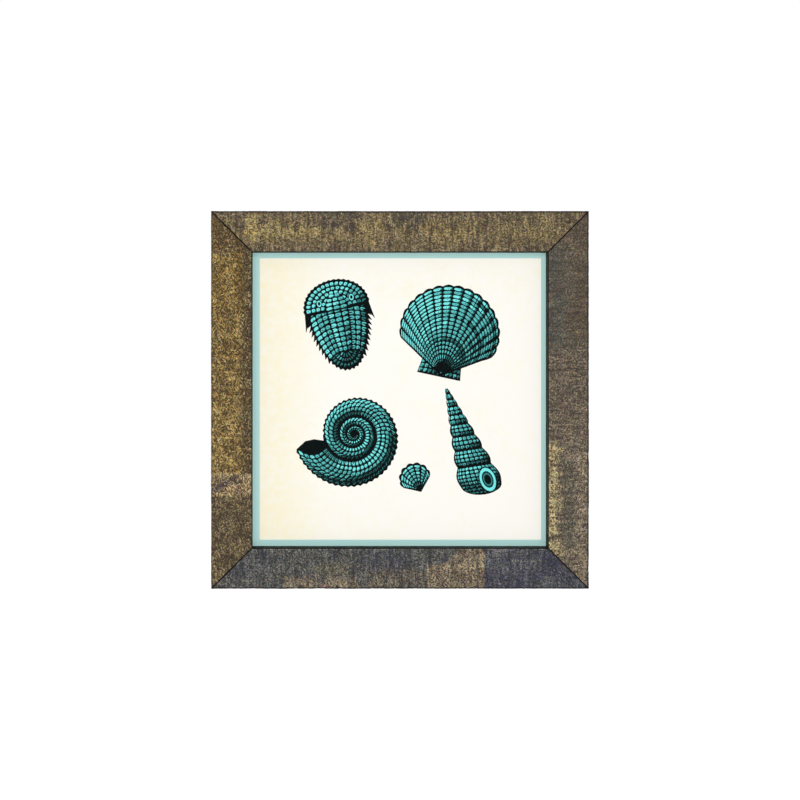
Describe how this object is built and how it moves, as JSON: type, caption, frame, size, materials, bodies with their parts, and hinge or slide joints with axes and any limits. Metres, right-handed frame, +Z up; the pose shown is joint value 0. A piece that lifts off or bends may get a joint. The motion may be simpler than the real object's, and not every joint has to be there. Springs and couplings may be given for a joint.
{
  "type": "framed print",
  "caption": "Square framed print for a wall: mitred rustic bronze wooden moulding, clear pane, cream sheet with a pale blue border, hardboard back and a sawtooth hanger.",
  "frame": {"origin": "where the wall's nail bears: the top of the middle notch in the sawtooth hanger, half way through the strip", "axes": "+Y into the wall, so the print faces -Y; +X to the right as seen from the front; +Z up"},
  "size_m": [0.381, 0.0253, 0.381],
  "materials": {
    "bronzed_wood": "satin",
    "picture_glass": "polished",
    "print_paper": "matte",
    "hardboard": "matte",
    "spring_steel": "satin",
    "brassed_steel": "satin",
    "black_rubber": "matte"
  },
  "bodies": {
    "root": {"rail_top": "bronzed_wood", "rail_bottom": "bronzed_wood", "rail_left": "bronzed_wood", "rail_right": "bronzed_wood", "glazing": "picture_glass", "art_print": "print_paper", "backing_board": "hardboard", "point_top_1": "spring_steel", "point_top_2": "spring_steel", "point_bottom_1": "spring_steel", "point_bottom_2": "spring_steel", "point_left_1": "spring_steel", "point_left_2": "spring_steel", "point_right_1": "spring_steel", "point_right_2": "spring_steel", "v_nail_top_left_1": "spring_steel", "v_nail_top_left_2": "spring_steel", "v_nail_top_right_1": "spring_steel", "v_nail_top_right_2": "spring_steel", "v_nail_bottom_left_1": "spring_steel", "v_nail_bottom_left_2": "spring_steel", "v_nail_bottom_right_1": "spring_steel", "v_nail_bottom_right_2": "spring_steel", "sawtooth_hanger": "brassed_steel", "hanger_nail_left": "brassed_steel", "hanger_nail_right": "brassed_steel", "bumper_left": "black_rubber", "bumper_right": "black_rubber"}
  },
  "joints": []
}
